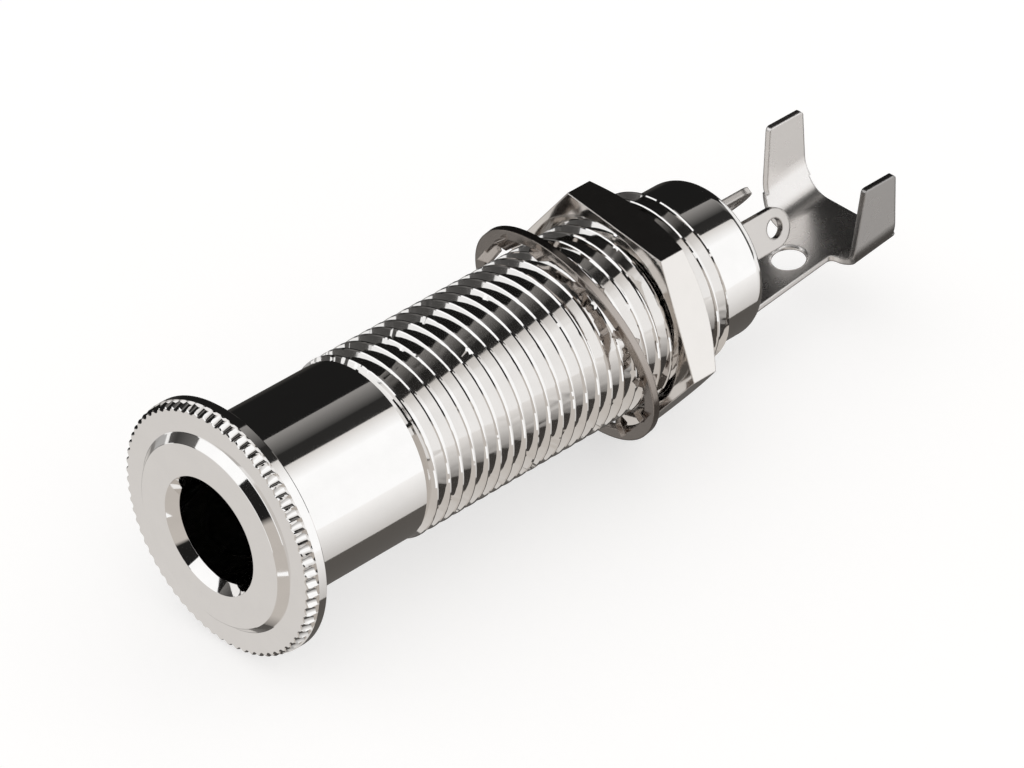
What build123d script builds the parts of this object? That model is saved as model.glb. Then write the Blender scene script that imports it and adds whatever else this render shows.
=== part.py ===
from build123d import *
import os
from math import cos, radians, sin, sqrt, tan

os.makedirs("parts", exist_ok=True)

# The origin is on the barrel's axis at the flange's rear face, which seats on the panel.
# +Y runs back to the solder end and +Z is up. All sizes are in mm.

# Length that a cutting outline runs past the metal
spare = 1.0

# Flange and front boss
flange_r = 7.94
flange_thickness = 1.35
knurl_length = 0.70
knurl_tip_r = 7.84
knurl_front_r = 7.62
knurl_lead = 0.25
knurl_depth = 0.30
knurl_teeth = 70
knurl_tip_width = 0.16
boss_foot_r = 6.24
boss_bevel = 0.44
boss_height = 0.50

# Barrel
smooth_r = 5.73
smooth_length = 9.65
thread_r = 5.92
thread_length = 24.70
thread_entry = 0.25
neck_wall = 0.45
neck_length = 4.00
lip_round = 0.95
lip_opening_r = 4.16
edge_break = 0.12

# Bore for the plug and the chamber behind it
bore_r = 3.31
bore_mouth = 0.44
bore_mouth_depth = 0.67
bore_length = 9.40
shoulder_length = 0.80
chamber_r = 4.70
fit_gap = 0.02

# Hex nut
nut_flats = 13.60
nut_thickness = 2.40
nut_front = 29.28
nut_turn = -7.93
nut_thread_gap = 0.06
nut_mouth = 0.45
nut_corner_angle = 28.0

# Lock washer
washer_outer_r = 7.65
washer_rim_width = 0.80
washer_thickness = 0.45
washer_tip_gap = 0.38
washer_teeth = 12
washer_tooth_root = 1.90
washer_tooth_width = 1.05
washer_tooth_thickness = 0.36
washer_tooth_twist = 38.0
washer_y = 26.36
washer_lean = 14.4
washer_swing = 2.4

# Insulator stack, from the neck's lip forward
rear_disc_thickness = 1.40
middle_disc_thickness = 1.00
front_disc_thickness = 1.40
disc_hole_r = 0.80
slot_gap = 0.05
liner_wall = 0.38
liner_front_gap = 0.20

# Solder lugs of the ring and tip contacts
lug_sheet = 0.45
lug_width = 2.60
lug_root_width = 2.10
lug_hole_r = 0.65
lug_tab_length = 2.20
ring_turn = 20.0
ring_lug_rho = 1.40
ring_lug_reach = 5.60
tip_turn = 145.0
tip_lug_rho = 2.00
tip_lug_reach = 5.15
lug_hole_back = 1.30

# Contact springs
spring_sheet = 0.30
spring_width = 2.20
spring_root_length = 1.80
spring_bow_rho = 3.42
spring_apex_rho = 2.60
spring_bend_r = 1.20
spring_nose = 1.30
spring_nose_rise = 0.40
ring_apex_depth = 21.00
tip_apex_depth = 26.50

# Sleeve terminal: collar, tongue and cable clamp
sheet = 0.40
collar_width = 0.82
tongue_root_width = 2.10
tongue_root_z = -3.72
tongue_width = 3.60
tongue_rise = 7.0
tongue_gap = 0.15
tongue_step = 0.85
tongue_hole_r = 1.10
tongue_hole_y = 45.70
tongue_hole_z = -4.00
tongue_hole_bevel = 0.12
clamp_half_width = 4.60
clamp_bend_r = 2.15
clamp_back = 51.42
clamp_top_z = 2.55
near_wing_front = 46.60
near_wing_top_front = 47.38
near_wing_top_back = 50.05
near_wing_back = 50.30
far_wing_front = 48.06
far_wing_top_front = 48.19
far_wing_top_back = 51.13
far_wing_back = 51.60
notch_y = 47.60
notch_r = 0.45
notch_end_x = 3.00
back_end_x = 1.00
wing_foot_z = -2.20
wing_corner_r = 0.28

# Positions that follow from the sizes above
flange_front = -flange_thickness
boss_front = flange_front - boss_height
thread_start = smooth_length
thread_end = thread_start + thread_length
neck_end = thread_end + neck_length
neck_r = chamber_r + neck_wall
lip_inside = neck_end - neck_wall
bore_end = boss_front + bore_length
stack_r = chamber_r - fit_gap
rear_disc_front = lip_inside - rear_disc_thickness
middle_disc_front = rear_disc_front - middle_disc_thickness
collar_front = middle_disc_front - sheet
front_disc_front = collar_front - front_disc_thickness
collar_inner_r = stack_r - collar_width
tab_front = front_disc_front - lug_tab_length


def around(rho, turn, y):
    # A plane at one station on the axis, facing forward, its x pointing out along the given turn.
    out = (cos(radians(turn)), 0, sin(radians(turn)))
    return Plane(origin=(out[0] * rho, y, out[2] * rho), x_dir=out, z_dir=(0, -1, 0))


def side_plane(turn):
    # A plane through the axis: x is the distance out along the turn, y runs back along the axis.
    out = (cos(radians(turn)), 0, sin(radians(turn)))
    return Plane(origin=(0, 0, 0), x_dir=out, z_dir=(-out[2], 0, out[0]))


# Barrel, turned in one piece
with BuildPart() as barrel:
    with BuildSketch(Plane.XY):
        with BuildLine():
            Polyline(
                (bore_r + bore_mouth, boss_front),
                (boss_foot_r - boss_bevel, boss_front),
                (boss_foot_r, flange_front),
                (knurl_front_r, flange_front),
                (knurl_tip_r, flange_front + knurl_lead),
                (knurl_tip_r, flange_front + knurl_length),
                (flange_r, flange_front + knurl_length),
                (flange_r, -edge_break),
                (flange_r - edge_break, 0),
                (smooth_r, 0),
                (smooth_r, thread_start),
                (thread_r, thread_start + thread_entry),
                (thread_r, thread_end - thread_entry),
                (neck_r, thread_end),
                (neck_r, neck_end - lip_round),
            )
            RadiusArc((neck_r, neck_end - lip_round), (neck_r - lip_round, neck_end), -lip_round)
            Polyline(
                (neck_r - lip_round, neck_end),
                (lip_opening_r, neck_end),
                (lip_opening_r, lip_inside),
                (chamber_r, lip_inside),
                (chamber_r, bore_end + shoulder_length),
                (bore_r, bore_end),
                (bore_r, boss_front + bore_mouth_depth),
                (bore_r + bore_mouth, boss_front),
            )
        make_face()
    revolve(axis=Axis.Y)
    # Straight knurl on the front of the flange, with a V groove between each two teeth
    groove_half = radians(180 / knurl_teeth) * knurl_tip_r - knurl_tip_width / 2
    with BuildSketch(Plane.XZ.offset(-flange_front)):
        with PolarLocations(knurl_tip_r, knurl_teeth):
            Polygon((-knurl_depth, 0), (edge_break, groove_half), (edge_break, -groove_half), align=None)
    extrude(amount=-knurl_length, mode=Mode.SUBTRACT)
barrel.part.label = "barrel"
export_step(barrel.part, "parts/barrel.step")

# Hex nut, countersunk in front, its rear corners turned off at an angle
with BuildPart() as hex_nut:
    with BuildSketch(Plane.XZ.offset(-nut_front)):
        RegularPolygon(nut_flats / 2, 6, major_radius=False, rotation=nut_turn)
    extrude(amount=-nut_thickness)
    nut_back = nut_front + nut_thickness
    corner_r = nut_flats / sqrt(3)
    corner_drop = (corner_r + spare - nut_flats / 2) * tan(radians(nut_corner_angle))
    with BuildSketch(Plane.XY):
        with BuildLine():
            Polyline(
                (nut_flats / 2, nut_back),
                (corner_r + spare, nut_back - corner_drop),
                (corner_r + spare, nut_back),
                close=True,
            )
        make_face()
    revolve(axis=Axis.Y, mode=Mode.SUBTRACT)
    with BuildSketch(Plane.XZ.offset(-nut_front)):
        Circle(thread_r + nut_thread_gap)
    extrude(amount=-nut_thickness, mode=Mode.SUBTRACT)
    mouths = hex_nut.edges().filter_by(GeomType.CIRCLE).filter_by(
        lambda e: abs(e.radius - thread_r - nut_thread_gap) < 0.001
    )
    chamfer(mouths.sort_by(Axis.Y)[0], nut_mouth)
    chamfer(mouths.sort_by(Axis.Y)[-1], nut_mouth / 2)
hex_nut.part.label = "hex_nut"
export_step(hex_nut.part, "parts/hex_nut.step")

# Lock washer with twisted teeth inside, leaning on the thread
washer_frame = Plane(
    origin=(0, washer_y, 0),
    x_dir=(cos(radians(washer_swing)), -sin(radians(washer_swing)), 0),
    z_dir=(
        -sin(radians(washer_swing)) * cos(radians(washer_lean)),
        -cos(radians(washer_swing)) * cos(radians(washer_lean)),
        -sin(radians(washer_lean)),
    ),
)
tooth_tip_r = thread_r + washer_tip_gap
tooth_root_r = washer_outer_r - washer_rim_width
tooth_root_end = tooth_root_r + washer_rim_width / 4
with BuildPart() as washer_tooth:
    with BuildSketch(Plane.XY.offset(-washer_tooth_thickness / 2)):
        Polygon(
            (tooth_tip_r, washer_tooth_width / 2),
            (tooth_root_end, washer_tooth_root / 2),
            (tooth_root_end, -washer_tooth_root / 2),
            (tooth_tip_r, -washer_tooth_width / 2),
            align=None,
        )
    extrude(amount=washer_tooth_thickness)
tooth_twist = Location((0, 0, 0), (1, 0, 0), washer_tooth_twist)
with BuildPart() as lock_washer:
    with BuildSketch(washer_frame.offset(-washer_thickness / 2)):
        Circle(washer_outer_r)
        Circle(tooth_root_r, mode=Mode.SUBTRACT)
    extrude(amount=washer_thickness)
    for i in range(washer_teeth):
        tooth_turn = Location((0, 0, 0), (0, 0, 1), 360 / washer_teeth * i)
        add(washer_tooth.part.moved(washer_frame.location * tooth_turn * tooth_twist))
lock_washer.part.label = "lock_washer"
export_step(lock_washer.part, "parts/lock_washer.step")


def slots(front, depth, tongue):
    # Tools for the slots that pass the two lugs, and the tongue too where the disc lies behind the collar.
    with BuildPart() as tools:
        for rho, turn in ((ring_lug_rho, ring_turn), (tip_lug_rho, tip_turn)):
            with BuildSketch(around(rho, turn, front)):
                Rectangle(lug_sheet + 2 * slot_gap, lug_root_width + 2 * slot_gap)
            extrude(amount=-depth)
        if tongue:
            with BuildSketch(around(-tongue_root_z, -90, front)):
                Rectangle(sheet + 2 * slot_gap, tongue_root_width + 2 * slot_gap)
            extrude(amount=-depth)
    return tools.part


# Liner that keeps the springs off the barrel's wall
liner_front = bore_end + shoulder_length + liner_front_gap
with BuildPart() as liner_tube:
    with BuildSketch(Plane.XZ.offset(-liner_front)):
        Circle(stack_r)
        Circle(stack_r - liner_wall, mode=Mode.SUBTRACT)
    extrude(amount=-(front_disc_front - liner_front))
liner_tube.part.label = "liner_tube"
export_step(liner_tube.part, "parts/liner_tube.step")

# Insulating discs
with BuildPart() as front_insulator:
    with BuildSketch(Plane.XZ.offset(-front_disc_front)):
        Circle(stack_r)
        Circle(disc_hole_r, mode=Mode.SUBTRACT)
    extrude(amount=-front_disc_thickness)
    add(slots(front_disc_front, front_disc_thickness, False), mode=Mode.SUBTRACT)
front_insulator.part.label = "front_insulator"
export_step(front_insulator.part, "parts/front_insulator.step")

with BuildPart() as middle_insulator:
    with BuildSketch(Plane.XZ.offset(-middle_disc_front)):
        Circle(stack_r)
    extrude(amount=-middle_disc_thickness)
    with BuildSketch(Plane.XZ.offset(-collar_front)):
        Circle(collar_inner_r - slot_gap)
    extrude(amount=-sheet)
    with BuildSketch(Plane.XZ.offset(-collar_front)):
        Circle(disc_hole_r)
    extrude(amount=-(sheet + middle_disc_thickness), mode=Mode.SUBTRACT)
    add(slots(collar_front, sheet + middle_disc_thickness, True), mode=Mode.SUBTRACT)
middle_insulator.part.label = "middle_insulator"
export_step(middle_insulator.part, "parts/middle_insulator.step")

with BuildPart() as rear_insulator:
    with BuildSketch(Plane.XZ.offset(-rear_disc_front)):
        Circle(stack_r)
        Circle(disc_hole_r, mode=Mode.SUBTRACT)
    extrude(amount=-rear_disc_thickness)
    add(slots(rear_disc_front, rear_disc_thickness, True), mode=Mode.SUBTRACT)
rear_insulator.part.label = "rear_insulator"
export_step(rear_insulator.part, "parts/rear_insulator.step")


def lug(rho, turn, reach):
    # A flat strip through the stack that widens behind the neck and ends in a round eye.
    out = (cos(radians(turn)), 0, sin(radians(turn)))
    face = Plane(
        origin=(out[0] * (rho - lug_sheet / 2), 0, out[2] * (rho - lug_sheet / 2)),
        x_dir=(0, 1, 0),
        z_dir=out,
    )
    end = neck_end + reach
    with BuildPart() as piece:
        with BuildSketch(face):
            with Locations(((tab_front + neck_end) / 2, 0)):
                Rectangle(neck_end - tab_front, lug_root_width)
            with Locations(((neck_end + end - lug_width / 2) / 2, 0)):
                Rectangle(end - lug_width / 2 - neck_end, lug_width)
            with Locations((end - lug_width / 2, 0)):
                Circle(lug_width / 2)
            with Locations((end - lug_hole_back, 0)):
                Circle(lug_hole_r, mode=Mode.SUBTRACT)
        extrude(amount=lug_sheet)
    return piece.part


# Solder lugs
ring_lug = lug(ring_lug_rho, ring_turn, ring_lug_reach)
ring_lug.label = "ring_lug"
export_step(ring_lug, "parts/ring_lug.step")
tip_lug = lug(tip_lug_rho, tip_turn, tip_lug_reach)
tip_lug.label = "tip_lug"
export_step(tip_lug, "parts/tip_lug.step")


def contact_spring(rho, turn, apex_depth):
    # A leaf that lies on its lug's inner tab, bows out and dips to the plug at its apex.
    seat = rho + lug_sheet / 2 + spring_sheet / 2
    apex_y = boss_front + apex_depth
    root_y = tab_front + spring_root_length
    low = spring_apex_rho + spring_sheet / 2
    with BuildPart() as piece:
        with BuildSketch(side_plane(turn)):
            with BuildLine():
                FilletPolyline(
                    (seat, root_y),
                    (seat, tab_front),
                    (spring_bow_rho, (tab_front + tab_front + apex_y) / 3),
                    (low, apex_y),
                    (low + spring_nose_rise, apex_y - spring_nose),
                    radius=spring_bend_r,
                )
            trace(line_width=spring_sheet)
        extrude(amount=spring_width / 2, both=True)
    return piece.part


# Contact springs
ring_spring = contact_spring(ring_lug_rho, ring_turn, ring_apex_depth)
ring_spring.label = "ring_spring"
export_step(ring_spring, "parts/ring_spring.step")
tip_spring = contact_spring(tip_lug_rho, tip_turn, tip_apex_depth)
tip_spring.label = "tip_spring"
export_step(tip_spring, "parts/tip_spring.step")

# Sleeve terminal, folded from one sheet
rise = tan(radians(tongue_rise))
step_y = neck_end + tongue_gap
step_back = step_y + tongue_step
step_z = tongue_hole_z - rise * (tongue_hole_y - step_back)
back_z = tongue_hole_z + rise * (clamp_back - tongue_hole_y)
channel_front = near_wing_front - spare
channel_z = tongue_hole_z - rise * (tongue_hole_y - channel_front)
channel_top = clamp_top_z - channel_z
channel_length = (far_wing_back + spare - channel_front) / cos(radians(tongue_rise))
side_x = tongue_width / 2
wing_outlines = (
    (1, near_wing_front, near_wing_top_front, near_wing_top_back, near_wing_back),
    (-1, far_wing_front, far_wing_top_front, far_wing_top_back, far_wing_back),
)
with BuildPart() as sleeve_terminal:
    # Channel that carries both wings, bent up from the tongue's sheet
    channel_plane = Plane(
        origin=(0, channel_front, channel_z),
        x_dir=(1, 0, 0),
        z_dir=(0, cos(radians(tongue_rise)), sin(radians(tongue_rise))),
    )
    with BuildSketch(channel_plane):
        with BuildLine():
            FilletPolyline(
                (-clamp_half_width + sheet / 2, -channel_top),
                (-clamp_half_width + sheet / 2, 0),
                (clamp_half_width - sheet / 2, 0),
                (clamp_half_width - sheet / 2, -channel_top),
                radius=clamp_bend_r + sheet / 2,
            )
        trace(line_width=sheet)
    extrude(amount=channel_length)
    # Wing outlines, the near wing further forward than the far one
    ahead = channel_front - spare
    behind = far_wing_back + 2 * spare
    high = clamp_top_z + spare
    for side, front, top_front, top_back, back in wing_outlines:
        with BuildSketch(Plane.YZ):
            with BuildLine():
                Polyline(
                    (ahead, wing_foot_z),
                    (front, wing_foot_z),
                    (top_front, clamp_top_z),
                    (top_back, clamp_top_z),
                    (back, wing_foot_z),
                    (behind, wing_foot_z),
                    (behind, high),
                    (ahead, high),
                    close=True,
                )
            make_face()
        extrude(amount=side * (clamp_half_width + spare), mode=Mode.SUBTRACT)
    # Outline of the floor between them, with a notch before each wing's foot
    side_end = clamp_half_width + spare
    with BuildSketch(Plane.XY.offset(wing_foot_z)):
        with Locations((0, (ahead + behind) / 2)):
            Rectangle(2 * side_end, behind - ahead)
        with BuildLine():
            Line((-side_x, ahead), (side_x, ahead))
            for side, front, top_front, top_back, back in wing_outlines:
                Line((side * side_x, ahead), (side * side_x, notch_y - notch_r))
                RadiusArc(
                    (side * side_x, notch_y - notch_r),
                    (side * (side_x + notch_r), notch_y),
                    side * notch_r,
                )
                Line((side * (side_x + notch_r), notch_y), (side * notch_end_x, notch_y))
                Spline(
                    (side * notch_end_x, notch_y),
                    (side * clamp_half_width, front),
                    tangents=((side, 0), (side * 0.5, front - notch_y)),
                )
                Line((side * clamp_half_width, front), (side * side_end, front))
                Line((side * side_end, front), (side * side_end, back))
                Line((side * side_end, back), (side * clamp_half_width, back))
                Spline(
                    (side * clamp_half_width, back),
                    (side * back_end_x, clamp_back),
                    tangents=((-side, clamp_back - back), (-side, 0)),
                )
            Line((-back_end_x, clamp_back), (back_end_x, clamp_back))
        make_face(mode=Mode.SUBTRACT)
    extrude(amount=tongue_hole_z - wing_foot_z - spare, mode=Mode.SUBTRACT)
    corners = sleeve_terminal.edges().filter_by(
        lambda e: abs(abs(e.center().X) - clamp_half_width + sheet / 2) < 0.1
        and e.center().Z > clamp_top_z - 0.01
        and abs(e.length - sheet) < 0.01
    )
    fillet(corners, wing_corner_r)
    # Tongue, stepped out behind the neck's lip
    with BuildSketch(Plane.YZ):
        with BuildLine():
            Polyline(
                (collar_front + sheet / 2, tongue_root_z),
                (step_y, tongue_root_z),
                (step_back, step_z),
                (channel_front + spare / 2, channel_z + spare / 2 * rise),
            )
        trace(line_width=sheet)
    extrude(amount=side_x, both=True)
    # Root of the tongue, narrow enough for the lip's opening
    with BuildSketch(Plane.XZ.offset(-collar_front)):
        Rectangle(4 * side_x, 4 * neck_r)
        Rectangle(tongue_root_width, 4 * neck_r, mode=Mode.SUBTRACT)
    extrude(amount=-(step_y - collar_front), mode=Mode.SUBTRACT)
    # Collar clamped in the stack
    with BuildSketch(Plane.XZ.offset(-collar_front)):
        Circle(stack_r)
        Circle(collar_inner_r, mode=Mode.SUBTRACT)
    extrude(amount=-sheet)
    # Solder hole with its rims eased
    hole_plane = Plane(
        origin=(0, tongue_hole_y, tongue_hole_z),
        x_dir=(1, 0, 0),
        z_dir=(0, -sin(radians(tongue_rise)), cos(radians(tongue_rise))),
    )
    with BuildSketch(hole_plane):
        Circle(tongue_hole_r)
    extrude(amount=sheet, both=True, mode=Mode.SUBTRACT)
    rims = sleeve_terminal.edges().filter_by(GeomType.CIRCLE).filter_by(
        lambda e: abs(e.radius - tongue_hole_r) < 0.001
    )
    chamfer(rims, tongue_hole_bevel)
sleeve_terminal.part.label = "sleeve_terminal"
export_step(sleeve_terminal.part, "parts/sleeve_terminal.step")
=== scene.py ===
import math
import random

import bmesh
import bpy
from mathutils import Matrix, Vector


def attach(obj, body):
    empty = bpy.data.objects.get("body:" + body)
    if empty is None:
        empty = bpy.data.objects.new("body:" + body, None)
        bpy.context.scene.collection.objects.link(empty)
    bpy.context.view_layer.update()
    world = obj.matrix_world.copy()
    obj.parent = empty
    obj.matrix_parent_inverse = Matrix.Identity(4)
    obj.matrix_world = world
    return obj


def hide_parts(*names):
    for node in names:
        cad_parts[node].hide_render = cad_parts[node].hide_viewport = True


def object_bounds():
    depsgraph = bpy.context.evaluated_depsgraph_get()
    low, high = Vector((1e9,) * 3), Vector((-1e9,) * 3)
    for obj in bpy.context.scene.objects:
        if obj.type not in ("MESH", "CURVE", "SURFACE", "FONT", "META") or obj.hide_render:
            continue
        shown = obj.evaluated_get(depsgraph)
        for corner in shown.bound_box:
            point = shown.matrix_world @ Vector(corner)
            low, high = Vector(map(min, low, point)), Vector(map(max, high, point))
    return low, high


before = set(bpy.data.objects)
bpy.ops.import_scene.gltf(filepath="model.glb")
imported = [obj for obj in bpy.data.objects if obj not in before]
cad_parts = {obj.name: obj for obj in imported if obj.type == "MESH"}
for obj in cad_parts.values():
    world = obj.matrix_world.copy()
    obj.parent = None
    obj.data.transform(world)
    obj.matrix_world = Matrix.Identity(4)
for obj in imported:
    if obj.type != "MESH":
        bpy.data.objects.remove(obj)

cad_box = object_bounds()
MM = 0.001

# Sizes shared with the solids, in millimetres; the flange is a hair smaller, to stay inside their box
FLANGE_R = 7.934
FLANGE_THICKNESS = 1.35
BOSS_HEIGHT = 0.50
BOSS_FOOT_R = 6.24
BOSS_BEVEL = 0.44
BORE_R = 3.31
BORE_MOUTH = 0.44
BORE_MOUTH_DEPTH = 0.67
BORE_LENGTH = 9.40
SHOULDER_LENGTH = 0.80
CHAMBER_R = 4.70
SMOOTH_R = 5.73
SMOOTH_LENGTH = 9.65
THREAD_R = 5.92
THREAD_LENGTH = 24.70
NECK_WALL = 0.45
NECK_R = 5.15
NECK_LENGTH = 4.00
LIP_ROUND = 0.95
LIP_OPENING_R = 4.16
PITCH = 1.0

# Places along the barrel that follow from them
FLANGE_FRONT = -FLANGE_THICKNESS
BOSS_FRONT = FLANGE_FRONT - BOSS_HEIGHT
BORE_END = BOSS_FRONT + BORE_LENGTH
THREAD_START = SMOOTH_LENGTH
THREAD_END = THREAD_START + THREAD_LENGTH
NECK_END = THREAD_END + NECK_LENGTH


# Materials; their tones are fitted to the photo under the studio below, not measured


def material(name):
    mat = bpy.data.materials.new(name)
    mat.use_nodes = True
    nodes = mat.node_tree.nodes
    bsdf = nodes["Principled BSDF"]
    return mat, nodes, mat.node_tree.links, bsdf


def object_noise(nodes, links, scale, detail=2.0):
    """Noise in the object's own coordinates."""
    coord = nodes.new("ShaderNodeTexCoord")
    noise = nodes.new("ShaderNodeTexNoise")
    noise.inputs["Scale"].default_value = scale
    noise.inputs["Detail"].default_value = detail
    links.new(coord.outputs["Object"], noise.inputs["Vector"])
    return noise.outputs["Fac"]


def mixed_color(nodes, links, factor, low, high):
    """A colour that runs from one tone to another with the factor."""
    mix = nodes.new("ShaderNodeMix")
    mix.data_type = "RGBA"
    mix.inputs["A"].default_value = (*low, 1)
    mix.inputs["B"].default_value = (*high, 1)
    links.new(factor, mix.inputs["Factor"])
    return mix.outputs["Result"]


def mapped(nodes, links, value, low, high):
    """A value from zero to one, brought between two limits."""
    ramp = nodes.new("ShaderNodeMapRange")
    ramp.inputs["To Min"].default_value = low
    ramp.inputs["To Max"].default_value = high
    links.new(value, ramp.inputs["Value"])
    return ramp.outputs["Result"]


METAL_NOISE = 900.0
METAL_TINT = 0.03
BUMP_DISTANCE = 0.05 * MM
BEVEL_SAMPLES = 6


def metal(name, color, rough, rough_spread, bump=0.0, bump_scale=2500.0, edge=0.0):
    """Plated metal: roughness, its spread, a fine bump, and edges rounded to a radius in mm."""
    mat, nodes, links, bsdf = material(name)
    noise = object_noise(nodes, links, METAL_NOISE, 3.0)
    limits = max(rough - rough_spread, 0.0), rough + rough_spread
    links.new(mapped(nodes, links, noise, *limits), bsdf.inputs["Roughness"])
    low = [c * (1 - METAL_TINT) for c in color]
    high = [min(c * (1 + METAL_TINT), 1) for c in color]
    links.new(mixed_color(nodes, links, noise, low, high), bsdf.inputs["Base Color"])
    bsdf.inputs["Metallic"].default_value = 1.0
    rounded = None
    if edge:
        rounded = nodes.new("ShaderNodeBevel")
        rounded.samples = BEVEL_SAMPLES
        rounded.inputs["Radius"].default_value = edge * MM
        links.new(rounded.outputs["Normal"], bsdf.inputs["Normal"])
    if bump:
        node = nodes.new("ShaderNodeBump")
        node.inputs["Strength"].default_value = bump
        node.inputs["Distance"].default_value = BUMP_DISTANCE
        links.new(object_noise(nodes, links, bump_scale), node.inputs["Height"])
        if rounded:
            links.new(rounded.outputs["Normal"], node.inputs["Normal"])
        links.new(node.outputs["Normal"], bsdf.inputs["Normal"])
    return mat


BRIGHT = metal("bright_nickel_finish", (0.84, 0.825, 0.81), 0.06, 0.02)
NUT = metal("nut_finish", (0.74, 0.71, 0.68), 0.09, 0.03, bump=0.04, bump_scale=1200.0, edge=0.12)
DARK = metal("washer_finish", (0.40, 0.36, 0.33), 0.17, 0.08, bump=0.20, bump_scale=900.0, edge=0.12)
# satin metal of the terminal and the springs; a painted shade is added to its colour further down
SATIN_WITH_PAINTED_SHADE = metal("terminal_finish_with_painted_shade", (0.79, 0.765, 0.745), 0.27, 0.02, bump=0.012, edge=0.17)
LUG = metal("lug_finish", (0.60, 0.57, 0.545), 0.26, 0.02, bump=0.012, edge=0.17)


def paint_shade_by_place(mat, axis, start, end, share):
    """Paint shade into a metal's colour: darken it along one axis, between two places in mm."""
    nodes = mat.node_tree.nodes
    links = mat.node_tree.links
    bsdf = nodes["Principled BSDF"]
    source = bsdf.inputs["Base Color"].links[0].from_socket
    coord = nodes.new("ShaderNodeTexCoord")
    axes = nodes.new("ShaderNodeSeparateXYZ")
    links.new(coord.outputs["Object"], axes.inputs["Vector"])
    ramp = nodes.new("ShaderNodeMapRange")
    ramp.inputs["From Min"].default_value = start * MM
    ramp.inputs["From Max"].default_value = end * MM
    ramp.inputs["To Min"].default_value = 1.0
    ramp.inputs["To Max"].default_value = share
    links.new(axes.outputs[axis], ramp.inputs["Value"])
    scale = nodes.new("ShaderNodeVectorMath")
    scale.operation = "SCALE"
    links.new(source, scale.inputs["Vector"])
    links.new(ramp.outputs["Result"], scale.inputs["Scale"])
    links.new(scale.outputs["Vector"], bsdf.inputs["Base Color"])


# the photo shows the terminal's near wing and its fold darker than the rest
PAINTED_SHADE_START = 2.3
PAINTED_SHADE_END = 2.9
PAINTED_SHADE_SHARE = 0.55
# painted shade: the terminal's colour falls to this share across its near wing and fold
paint_shade_by_place(SATIN_WITH_PAINTED_SHADE, "X", PAINTED_SHADE_START, PAINTED_SHADE_END, PAINTED_SHADE_SHARE)


PLASTIC_NOISE = 1500.0
PLASTIC_TINT = 0.15


def plastic(name, color, rough):
    mat, nodes, links, bsdf = material(name)
    noise = object_noise(nodes, links, PLASTIC_NOISE)
    low = [c * (1 - PLASTIC_TINT) for c in color]
    high = [c * (1 + PLASTIC_TINT) for c in color]
    links.new(mixed_color(nodes, links, noise, low, high), bsdf.inputs["Base Color"])
    bsdf.inputs["Roughness"].default_value = rough
    return mat


INSULATOR = plastic("insulator_finish", (0.035, 0.032, 0.03), 0.5)


def finish_of(node, mat):
    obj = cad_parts[node]
    for slot in obj.material_slots:
        slot.material = mat
    if not obj.material_slots:
        obj.data.materials.append(mat)


for name, mat in (
    ("hex_nut", NUT),
    ("lock_washer", DARK),
    ("sleeve_terminal", SATIN_WITH_PAINTED_SHADE),
    ("ring_lug", LUG),
    ("tip_lug", LUG),
    ("ring_spring", SATIN_WITH_PAINTED_SHADE),
    ("tip_spring", SATIN_WITH_PAINTED_SHADE),
    ("liner_tube", INSULATOR),
    ("front_insulator", INSULATOR),
    ("middle_insulator", INSULATOR),
    ("rear_insulator", INSULATOR),
    ("barrel", BRIGHT),
):
    finish_of(name, mat)


# Barrel in one mesh: knurled flange, boss, bore, smooth front stretch, thread, neck and rolled lip

# Edge breaks, in mm, and steps in the lip's round
FLANGE_BREAK = 0.10
FINE_BREAK = 0.03
SMOOTH_BREAK = 0.05
LIP_STEPS = 10

# Thread profile: places in fractions of the pitch, depths in mm, slopes in fractions for each mm of depth;
# its groove isn't seen in the photo and was worked out from what the thread mirrors
CREST_DEPTH = 0.06
CREST_FRONT = 0.487
CREST_START = 0.557
CREST_END = 0.640
FRONT_SLOPE = 0.568
REAR_SLOPE = 0.589
FULL_DEPTH = 0.60
PROFILE_POINTS = 5
EDGE_POINT = 2  # first point of the profile that belongs to the crest
PROFILE_SHIFT = -0.457
SPARE_TURNS = 2

# Where one turn of the thread is seen in the photo: its place along the barrel and its turn about it
THREAD_CROSSING = 11.03
CROSSING_TURN = math.radians(45.5)

# Lengths over which the thread starts and runs out, in mm
LEAD_IN = 1.2
START_STEP = 0.05
RUN_OUT = 0.15
RUN_OUT_FALL = 0.25

# Burrs that the die left on the crests: usual and rare size, share of the rare ones, knots round the barrel,
# growth at the thread's start, share of a burr that lowers the crest
BURR_USUAL = 0.003
BURR_RARE = 0.030
BURR_RARE_SHARE = 0.10
BURR_KNOTS = 140
BURR_AT_START = 2.2
BURR_DEPTH_SHARE = 0.5
SEED_STEP = 17

# Knurl: its turn about the barrel in degrees, lengths in mm
KNURL_TEETH = 70
KNURL_TURN = 0.2
KNURL_LENGTH = 0.70
KNURL_DEPTH = 0.30
KNURL_INSET = 0.08
KNURL_RINGS = [
    # place behind the flange's front, cut off the ridge's tip, rise of the ridge, rise of the groove
    (0.00, 0.18, 0.00, -0.04),
    (0.07, 0.08, 0.00, 0.00),
    (0.22, 0.00, 0.00, 0.05),
    (0.45, 0.00, 0.00, 0.09),
    (KNURL_LENGTH - 0.03, 0.00, 0.02, 0.15),
]
KNURL_FIRST = 9  # rings of bore and boss that come before the knurl
KNURL_LAST = KNURL_FIRST + len(KNURL_RINGS) - 1
FLUTE = [
    # place across one hollow flute in fractions of its pitch, share of its depth; the ridge is at the end
    (-0.50, 0.00),
    (-0.37, 0.48),
    (-0.19, 0.87),
    (0.00, 1.00),
    (0.19, 0.87),
    (0.37, 0.48),
]
COLUMNS = [
    (flute + place) * 360 / KNURL_TEETH + KNURL_TURN
    for flute in range(KNURL_TEETH)
    for place, _ in FLUTE
]
CUTS = [cut for _ in range(KNURL_TEETH) for _, cut in FLUTE]
TURNS = len(COLUMNS)

# Edges flatter than this are smooth, and points nearer than this, in metres, are one
SHARP_ANGLE = math.radians(10)
WELD_GAP = 2e-7


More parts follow.
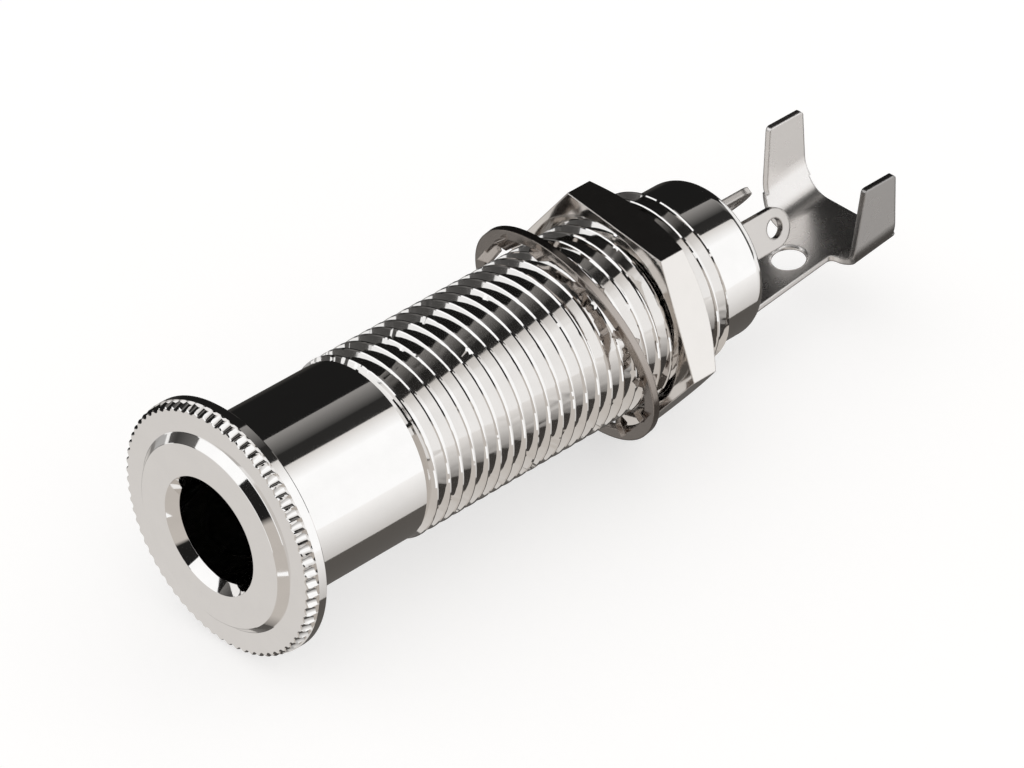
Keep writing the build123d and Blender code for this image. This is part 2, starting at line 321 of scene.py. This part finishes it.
def thread_profile(depth):
    """Groove, front flank, edge and crest: fraction of the pitch, depth under the crest in mm."""
    return (
        (CREST_END + depth * REAR_SLOPE - 1.0, depth),
        (CREST_FRONT - (depth - CREST_DEPTH) * FRONT_SLOPE, depth),
        (CREST_FRONT, CREST_DEPTH),
        (CREST_START, 0.0),
        (CREST_END, 0.0),
    )


def wander(seed):
    """A closed random curve round the barrel, for the small burrs that the thread die left."""
    rng = random.Random(seed)
    knots = []
    for _ in range(BURR_KNOTS):
        spread = BURR_RARE if rng.random() < BURR_RARE_SHARE else BURR_USUAL
        knots.append(rng.uniform(-spread, spread))
    curve = []
    for i in range(TURNS):
        x = i * BURR_KNOTS / TURNS
        k = int(x)
        f = x - k
        curve.append(knots[k % BURR_KNOTS] * (1 - f) + knots[(k + 1) % BURR_KNOTS] * f)
    return curve


def even(r, y):
    return [(r, y)] * TURNS


def fluted(tip_r, ridge_r, groove_r, y):
    """Knurled ring: hollow flutes between sharp ridges, all cut down to the tip radius given."""
    return [(min(tip_r, ridge_r - cut * (ridge_r - groove_r)), y) for cut in CUTS]


def front_rings():
    """Bore, boss, knurled flange and smooth front stretch."""
    ease = FINE_BREAK
    mouth_r = BORE_R + BORE_MOUTH
    top_r = BOSS_FOOT_R - BOSS_BEVEL
    rings = [
        even(BORE_R, BORE_END),
        even(BORE_R, BOSS_FRONT + BORE_MOUTH_DEPTH + ease),
        even(BORE_R + ease / 2, BOSS_FRONT + BORE_MOUTH_DEPTH),
        even(mouth_r, BOSS_FRONT + ease / 2),
        even(mouth_r + ease / 2, BOSS_FRONT),
        even(top_r - ease, BOSS_FRONT),
        even(top_r, BOSS_FRONT + ease / 2),
        even(BOSS_FOOT_R - ease / 2, FLANGE_FRONT - ease),
        even(BOSS_FOOT_R + ease, FLANGE_FRONT),
    ]
    for behind, tip_cut, ridge_rise, groove_rise in KNURL_RINGS:
        ridge_r = FLANGE_R - KNURL_INSET + ridge_rise
        groove_r = FLANGE_R - KNURL_INSET - KNURL_DEPTH + groove_rise
        rings.append(fluted(ridge_r - tip_cut, ridge_r, groove_r, FLANGE_FRONT + behind))
    return rings + [
        even(FLANGE_R, FLANGE_FRONT + KNURL_LENGTH),
        even(FLANGE_R, -FLANGE_BREAK),
        even(FLANGE_R - FLANGE_BREAK, 0.0),
        even(SMOOTH_R + SMOOTH_BREAK, 0.0),
        even(SMOOTH_R, SMOOTH_BREAK),
        even(SMOOTH_R, THREAD_START - 2 * START_STEP),
    ]


def thread_rings():
    """One ring for each profile point of each turn, laid along the helix."""
    rings = []
    first = int(math.floor(THREAD_START - THREAD_CROSSING)) - SPARE_TURNS
    last = int(math.ceil(THREAD_END - THREAD_CROSSING)) + SPARE_TURNS
    start_depth = THREAD_R - SMOOTH_R
    for n in range(first, last):
        for k in range(PROFILE_POINTS):
            rough = wander(n * SEED_STEP + k) if k >= EDGE_POINT else [0.0] * TURNS
            ring = []
            for i, turn in enumerate(COLUMNS):
                # right-hand helix, so that the groove moves back as the turn grows about +Y
                part = ((CROSSING_TURN - math.radians(turn)) / (2 * math.pi)) % 1.0
                if part > 0.5:
                    part -= 1.0
                start = THREAD_CROSSING + (n + part + PROFILE_SHIFT) * PITCH
                # the groove is shallow where the thread starts and full depth a turn later
                lead = min(max((start + CREST_FRONT - THREAD_START) / LEAD_IN, 0.0), 1.0)
                f, depth = thread_profile(start_depth + (FULL_DEPTH - start_depth) * lead)[k]
                y = start + f * PITCH + rough[i] * (BURR_AT_START - (BURR_AT_START - 1.0) * lead)
                r = THREAD_R - depth - abs(rough[i]) * BURR_DEPTH_SHARE
                if y < THREAD_START:
                    r = SMOOTH_R
                    y = max(y, THREAD_START - START_STEP)
                past = y - THREAD_END + RUN_OUT
                if past > 0:
                    r = min(r, THREAD_R - (THREAD_R - NECK_R) * min(1.0, past / RUN_OUT_FALL))
                    y = min(y, THREAD_END)
                    r = r if y < THREAD_END else NECK_R
                ring.append((min(r, THREAD_R), y))
            rings.append(ring)
    return rings


def rear_rings():
    """Neck, rolled lip, chamber and shoulder, back to the bore's end."""
    lip_start = NECK_END - LIP_ROUND
    rings = [even(NECK_R, THREAD_END), even(NECK_R, lip_start)]
    for k in range(1, LIP_STEPS + 1):
        t = math.pi / 2 * k / LIP_STEPS
        r = NECK_R - LIP_ROUND + LIP_ROUND * math.cos(t)
        rings.append(even(r, lip_start + LIP_ROUND * math.sin(t)))
    rings += [
        even(LIP_OPENING_R, NECK_END),
        even(LIP_OPENING_R, NECK_END - NECK_WALL),
        even(CHAMBER_R, NECK_END - NECK_WALL),
        even(CHAMBER_R, BORE_END + SHOULDER_LENGTH),
        even(BORE_R, BORE_END),
    ]
    return rings


def barrel_surface():
    """Points and faces of the rings, each joined to the next."""
    rings = front_rings() + thread_rings() + rear_rings()
    verts = []
    faces = []
    for ring in rings:
        for turn, (r, y) in zip(COLUMNS, ring):
            a = math.radians(turn)
            verts.append((r * math.cos(a) * MM, y * MM, r * math.sin(a) * MM))
    for k in range(len(rings) - 1):
        for i in range(TURNS):
            j = (i + 1) % TURNS
            faces.append((k * TURNS + i, k * TURNS + j, (k + 1) * TURNS + j, (k + 1) * TURNS + i))
    return verts, faces


def in_flute(edge):
    """True for an edge that runs back along a flute's hollow."""
    a, b = edge.vertices
    return (
        abs(a - b) == TURNS
        and KNURL_FIRST <= min(a, b) // TURNS <= KNURL_LAST
        and CUTS[a % TURNS] > 0
    )


def threaded_barrel():
    verts, faces = barrel_surface()
    mesh = bpy.data.meshes.new("barrel_threaded")
    mesh.from_pydata(verts, [], faces)
    mesh.update()
    mesh.validate()
    for poly in mesh.polygons:
        poly.use_smooth = True
    # a seam carries the flutes through the weld, which renumbers the points
    for edge in mesh.edges:
        edge.use_seam = in_flute(edge)
    # close the mesh and drop the empty faces where the thread's turns run out
    weld = bmesh.new()
    weld.from_mesh(mesh)
    bmesh.ops.remove_doubles(weld, verts=weld.verts, dist=WELD_GAP)
    bmesh.ops.dissolve_degenerate(weld, edges=weld.edges, dist=WELD_GAP)
    weld.to_mesh(mesh)
    weld.free()
    # sharp edges are found after the weld, which drops their marks; the flutes stay smooth between their ridges
    mesh.set_sharp_from_angle(angle=SHARP_ANGLE)
    for edge in mesh.edges:
        if edge.use_seam:
            edge.use_edge_sharp = False
            edge.use_seam = False
    obj = bpy.data.objects.new("barrel_threaded", mesh)
    bpy.context.scene.collection.objects.link(obj)
    return obj


barrel = threaded_barrel()
barrel.data.materials.append(BRIGHT)
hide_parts("barrel")
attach(barrel, "body")

# Light: a plain pale world, with panels that only the metal mirrors. Where they stand and how bright they are
# is fitted to the photo's reflections, so from other sides the reflections are plausible only.

WORLD_LIGHT = (0.80, 0.79, 0.78)
WORLD_SEEN = (1.0, 1.0, 1.0)

world = bpy.data.worlds.new("studio")
bpy.context.scene.world = world
world.use_nodes = True


def seen_or_mirrored(nodes, links):
    """One where the ray comes from the camera or from a mirror or glass, zero where it lights a surface."""
    path = nodes.new("ShaderNodeLightPath")
    total = nodes.new("ShaderNodeMath")
    total.operation = "MAXIMUM"
    both = nodes.new("ShaderNodeMath")
    both.operation = "MAXIMUM"
    links.new(path.outputs["Is Camera Ray"], total.inputs[0])
    links.new(path.outputs["Is Glossy Ray"], total.inputs[1])
    links.new(total.outputs["Value"], both.inputs[0])
    links.new(path.outputs["Is Transmission Ray"], both.inputs[1])
    return both.outputs["Value"]


world_nodes = world.node_tree.nodes
world_links = world.node_tree.links
world_seen = seen_or_mirrored(world_nodes, world_links)
world_color = mixed_color(world_nodes, world_links, world_seen, WORLD_LIGHT, WORLD_SEEN)
background = world_nodes["Background"]
world_links.new(world_color, background.inputs["Color"])
background.inputs["Strength"].default_value = 1.0

# Panels: faces across and along each, noise of their tone and its lowest and highest share
PANEL_ACROSS = 16
PANEL_ALONG = 4
PANEL_NOISE = 4.0
PANEL_LOW = 0.94
PANEL_HIGH = 1.06

# How far the panels stand from the barrel's axis, in mm; one that stands nearer hides those behind it
REACH_BEHIND = 430.0
REACH = 400.0
REACH_FRONT = 385.0
REACH_EDGE = 384.0
REACH_WINDOW = 380.0


def panel(name, corners, tones, reach=REACH):
    """One panel of the studio that shows in metal alone and neither lights nor shades anything.

    A corner is an elevation in degrees, measured from +X over +Z, and its place along the barrel in reaches.
    Each corner has its own tone, and the panel runs smoothly from one to the next.
    """
    verts = []
    shades = []
    elevations, places = zip(*corners)
    for i in range(PANEL_ACROSS + 1):
        u = i / PANEL_ACROSS
        for j in range(PANEL_ALONG + 1):
            v = j / PANEL_ALONG
            weights = ((1 - u) * (1 - v), u * (1 - v), u * v, (1 - u) * v)
            turn = math.radians(sum(w * a for w, a in zip(weights, elevations)))
            place = sum(w * k for w, k in zip(weights, places))
            verts.append(tuple(reach * MM * c for c in (math.cos(turn), place, math.sin(turn))))
            shades.append([sum(w * tone[c] for w, tone in zip(weights, tones)) for c in range(3)])
    faces = []
    row = PANEL_ALONG + 1
    for i in range(PANEL_ACROSS):
        for j in range(PANEL_ALONG):
            k = i * row + j
            faces.append((k, k + 1, k + row + 1, k + row))
    mesh = bpy.data.meshes.new(name)
    mesh.from_pydata(verts, [], faces)
    layer = mesh.color_attributes.new("shade", "FLOAT_COLOR", "POINT")
    for i, shade in enumerate(shades):
        layer.data[i].color = (*shade, 1.0)
    obj = bpy.data.objects.new(name, mesh)
    bpy.context.scene.collection.objects.link(obj)
    mat, nodes, links, bsdf = material(name + "_face")
    nodes.remove(bsdf)
    emit = nodes.new("ShaderNodeEmission")
    tone = nodes.new("ShaderNodeAttribute")
    tone.attribute_name = "shade"
    noise = object_noise(nodes, links, PANEL_NOISE)
    links.new(tone.outputs["Color"], emit.inputs["Color"])
    links.new(mapped(nodes, links, noise, PANEL_LOW, PANEL_HIGH), emit.inputs["Strength"])
    links.new(emit.outputs["Emission"], nodes["Material Output"].inputs["Surface"])
    mesh.materials.append(mat)
    obj.visible_camera = False
    obj.visible_diffuse = False
    obj.visible_shadow = False
    obj.visible_transmission = False


def band(name, start, end, near, far, first, last, reach=REACH):
    """A panel between two elevations that runs from one tone to another."""
    corners = [(start, near), (end, near), (end, far), (start, far)]
    panel(name, corners, [first, last, last, first], reach)


def grey(level, warmth=0.03):
    """A grey that is a little warmer than neutral."""
    return (level, level * (1 - warmth), level * (1 - 2 * warmth))


WHITE = (1.16, 1.17, 1.18)
BEIGE = grey(0.585, 0.065)
TABLE = grey(0.726, 0.03)
BLACK = grey(0.013, 0.02)
SHADE = grey(0.105, 0.08)

# Places along the barrel where panels meet, in reaches, from the front end to the rear end
FRONT_END = -2.4
FRONT = -0.3
STRIP_START = -0.25
SIDE = -0.02
STRIP_END = 0.3
BEND = 0.63
REAR_MIDDLE = 1.3
REAR_END = 2.4

# rear half of the studio, mirrored by the barrel's side and twice over by the thread
band("table_shade", -128, -58, BEND, REAR_END, grey(0.125, 0.06), SHADE)
panel(
    "table_shade_near",
    [(-128, SIDE), (-33, SIDE), (-58, BEND), (-128, BEND)],
    [grey(0.125, 0.06), grey(0.03), SHADE, grey(0.125, 0.06)],
)
band("table_right", -58, -12, BEND, REAR_END, grey(0.62, 0.03), grey(1.08, 0.005))
panel(
    "table_right_near",
    [(-33, SIDE), (20, SIDE), (-12, BEND), (-58, BEND)],
    [grey(0.02, 0.03), grey(1.0, 0.01), grey(1.08, 0.005), grey(0.62, 0.03)],
)
panel("softbox_low", [(20, SIDE), (51, SIDE), (51, BEND), (-12, BEND)], [WHITE] * 4)
band("softbox_middle", -12, 51, BEND, REAR_MIDDLE, WHITE, WHITE)
band("softbox_high", 51, 71, BEND, REAR_MIDDLE, WHITE, grey(0.76))
panel(
    "softbox_high_near",
    [(51, FRONT), (90, FRONT), (71, BEND), (51, BEND)],
    [WHITE, grey(0.60), grey(0.76), WHITE],
)
band("wall_behind", 0, 71, REAR_MIDDLE, REAR_END, grey(0.10), grey(0.10))
band("flag_overhead", 71, 87, BEND, REAR_END, grey(0.030), grey(0.026))
panel(
    "flag_overhead_near",
    [(90, FRONT), (96, FRONT), (87, BEND), (71, BEND)],
    [grey(0.026)] * 4,
)
band("slit", 87, 112, BEND, REAR_END, grey(0.045), grey(0.32))
panel(
    "slit_near",
    [(96, FRONT), (112, FRONT), (112, BEND), (87, BEND)],
    [grey(0.03), grey(0.10), grey(0.32), grey(0.045)],
)
band("flag_left", 112, 168, FRONT, REAR_END, BLACK, BLACK)
band("flag_left_low", 168, 190, STRIP_END, REAR_END, BLACK, BLACK)
band("flag_horizon", 168, 186, SIDE, STRIP_END, BLACK, grey(0.14, 0.0))
band("table_far_left", 190, 232, STRIP_END, REAR_END, grey(0.014), grey(0.10, 0.06))
# low strip round the horizon and under the jack, mirrored by the chamfers
band("horizon_left", 186, 200, STRIP_START, STRIP_END, grey(0.48, 0.01), grey(0.44, 0.01))
band("horizon_low", 200, 216, STRIP_START, STRIP_END, grey(0.30), grey(0.15))
band("horizon_front", 216, 232, STRIP_START, STRIP_END, grey(0.15), grey(0.35))
band("table_under_left", -128, -104, STRIP_START, SIDE, grey(0.35), grey(0.11, 0.06))
band("table_under", -104, -85, STRIP_START, SIDE, grey(0.11, 0.06), BEIGE)
# front half of the studio, mirrored by the flange, its chamfers and the thread's front flanks
band("softbox_front", 66, 150, -3.6, FRONT, WHITE, WHITE, REACH_BEHIND)
panel("table_front", [(-85, FRONT_END), (20, FRONT_END), (32, SIDE), (-85, SIDE)], [BEIGE] * 4)
band("table_front_left", -145, -105, FRONT_END, STRIP_START, TABLE, TABLE)
band("table_front_under", -105, -85, FRONT_END, STRIP_START, TABLE, BEIGE)
panel(
    "table_front_far_left",
    [(200, -1.6), (215, -1.3), (215, STRIP_START), (194, STRIP_START)],
    [grey(0.11), TABLE, TABLE, grey(0.11)],
)
band("window", -41, -22, -0.80, -0.46, WHITE, WHITE, REACH_WINDOW)
panel(
    "camera_side",
    [(24, FRONT_END), (92, -1.6), (68, -0.45), (34, -0.45)],
    [grey(0.016), BLACK, BLACK, grey(0.016)],
    REACH_FRONT,
)
panel(
    "camera_side_edge",
    [(12, FRONT_END), (24, FRONT_END), (34, -0.45), (28, -0.45)],
    [BEIGE, grey(0.016), grey(0.016), BEIGE],
    REACH_EDGE,
)
panel(
    "wall_left",
    [(146, SIDE), (172, SIDE), (176, -0.97), (148, -0.47)],
    [grey(0.18), grey(0.05), grey(0.08), grey(0.16)],
    REACH_FRONT,
)
panel(
    "wall_left_low",
    [(172, SIDE), (180, SIDE), (204, -1.4), (176, -0.97)],
    [grey(0.05), grey(0.12), grey(0.11), grey(0.08)],
    REACH_FRONT,
)

# Floor at the height of the flange's lowest point, in metres

FLOOR_HALF = 1.5
FLOOR_NOISE = 40.0
FLOOR_LOW = (0.52, 0.515, 0.51)
FLOOR_HIGH = (0.53, 0.525, 0.52)
FLOOR_SEEN = (0.6, 0.6, 0.6)
FLOOR_ROUGHNESS = 0.9

floor_z = cad_box[0][2]
floor_mesh = bpy.data.meshes.new("floor")
floor_signs = [(-1, -1), (1, -1), (1, 1), (-1, 1)]
floor_corners = [(x * FLOOR_HALF, y * FLOOR_HALF, floor_z) for x, y in floor_signs]
floor_mesh.from_pydata(floor_corners, [], [(0, 1, 2, 3)])
floor = bpy.data.objects.new("floor", floor_mesh)
bpy.context.scene.collection.objects.link(floor)
floor_mat, floor_nodes, floor_links, floor_bsdf = material("floor_surface")
floor_noise = object_noise(floor_nodes, floor_links, FLOOR_NOISE)
floor_color = mixed_color(floor_nodes, floor_links, floor_noise, FLOOR_LOW, FLOOR_HIGH)
floor_links.new(floor_color, floor_bsdf.inputs["Base Color"])
floor_links.new(seen_or_mirrored(floor_nodes, floor_links), floor_bsdf.inputs["Emission Strength"])
floor_bsdf.inputs["Emission Color"].default_value = (*FLOOR_SEEN, 1)
floor_bsdf.inputs["Roughness"].default_value = FLOOR_ROUGHNESS
floor_bsdf.inputs["Specular IOR Level"].default_value = 0.0
floor_mesh.materials.append(floor_mat)
# the table that the metal mirrors is the panels above
floor.visible_glossy = False

# Camera at the photo's viewing angle: its place in metres, and the ways back from it and to its right

CAMERA_PLACE = (0.17485, -0.14706, 0.17637)
CAMERA_BACK = (0.5805, -0.5609, 0.5903)
CAMERA_RIGHT = (0.6948, 0.7192, 0.0)
CAMERA_LENS = 179.4
CAMERA_SENSOR = 36.0

camera_data = bpy.data.cameras.new("camera")
camera_data.lens = CAMERA_LENS
camera_data.sensor_width = CAMERA_SENSOR
camera_data.clip_start = 0.01
camera = bpy.data.objects.new("camera", camera_data)
bpy.context.scene.collection.objects.link(camera)
bpy.context.scene.camera = camera
camera_back = Vector(CAMERA_BACK).normalized()
camera_right = Vector(CAMERA_RIGHT).normalized()
camera_up = camera_back.cross(camera_right)
rotation = Matrix((camera_right, camera_up, camera_back)).transposed()
camera.matrix_world = Matrix.Translation(Vector(CAMERA_PLACE)) @ rotation.to_4x4()

bpy.context.scene.view_settings.view_transform = "Standard"
